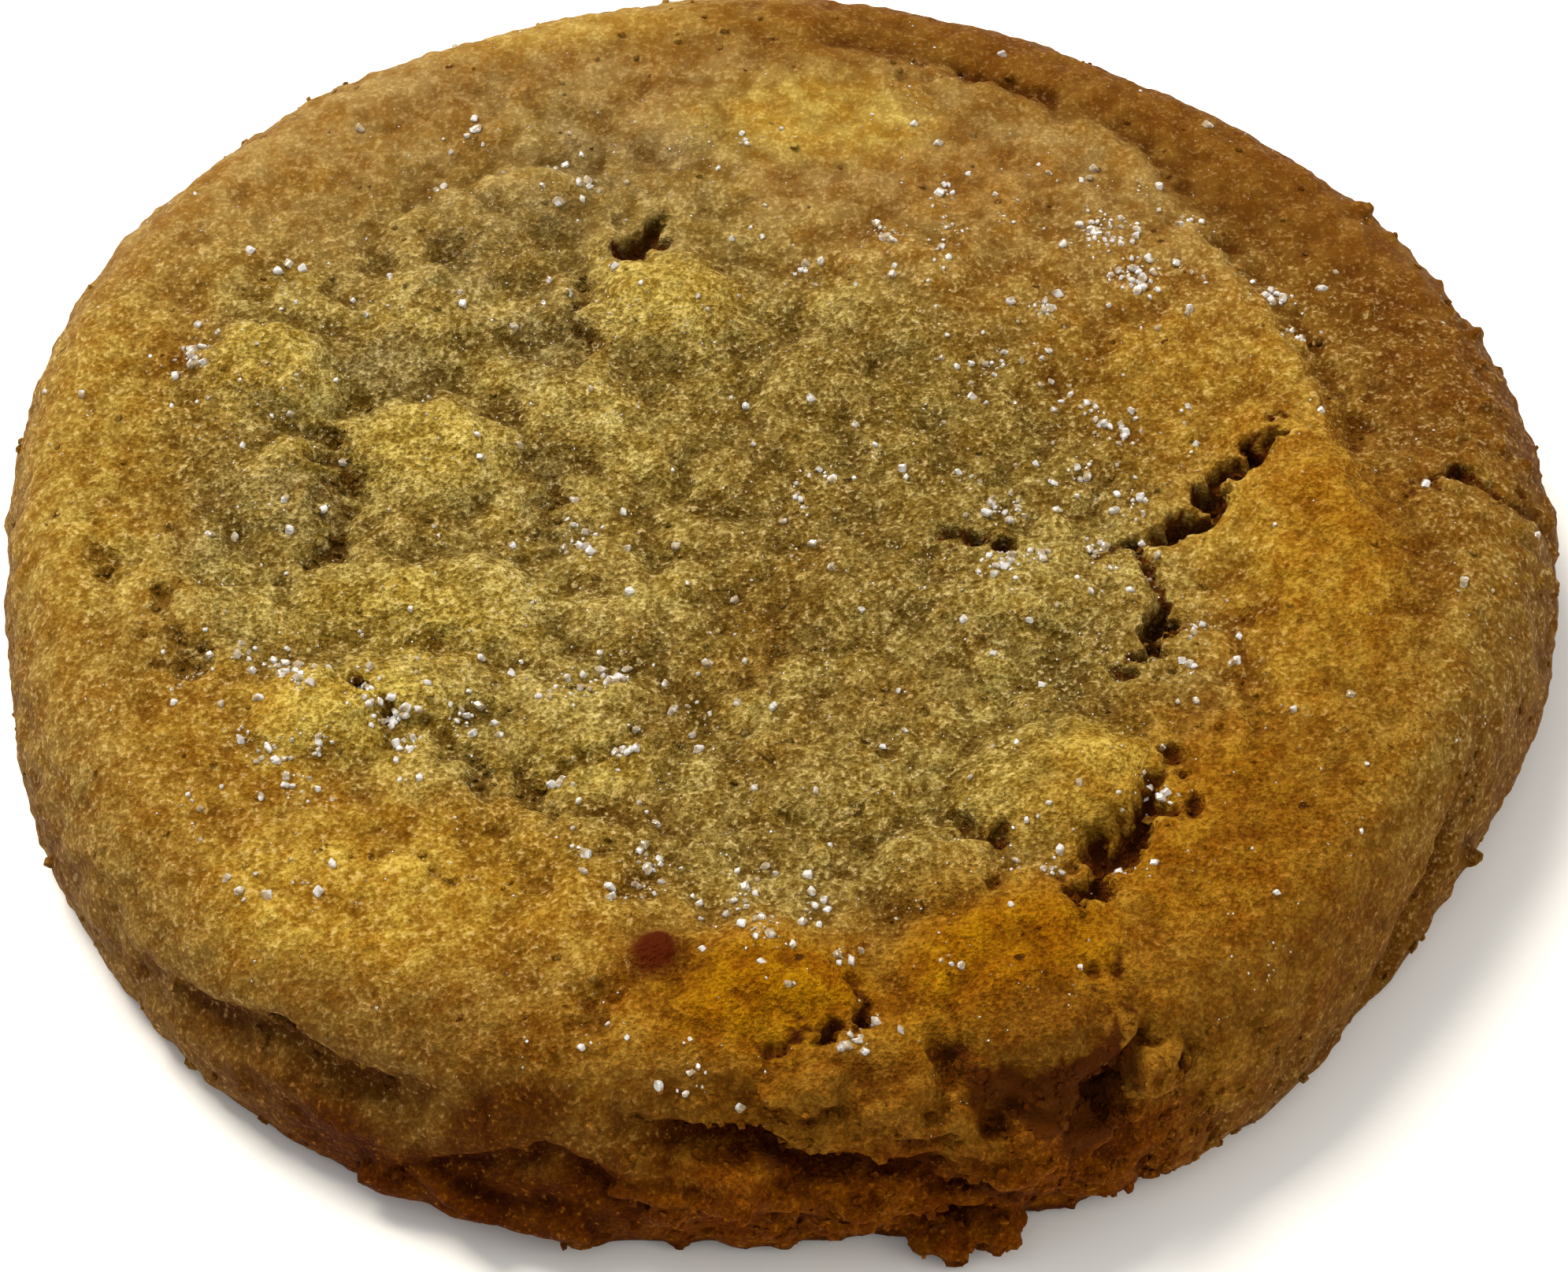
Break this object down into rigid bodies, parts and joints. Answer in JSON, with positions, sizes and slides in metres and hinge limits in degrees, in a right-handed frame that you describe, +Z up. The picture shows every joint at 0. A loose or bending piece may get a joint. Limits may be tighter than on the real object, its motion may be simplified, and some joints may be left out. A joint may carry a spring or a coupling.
{
  "type": "sugar cookie",
  "caption": "A thick round baked sugar cookie with a browned rim, a sunken lumpy middle, cracks, a crumbled front edge and grains of sugar on top.",
  "frame": {"origin": "on the table, under the middle of the cookie's outline", "axes": "+Z up, +X to the cookie's right, -Y towards its crumbled front edge"},
  "size_m": [0.08, 0.0786, 0.0126],
  "materials": {
    "baked_sugar_dough": "matt crumb with a golden brown crust"
  },
  "bodies": {
    "root": {"cookie": "baked_sugar_dough"}
  },
  "joints": []
}
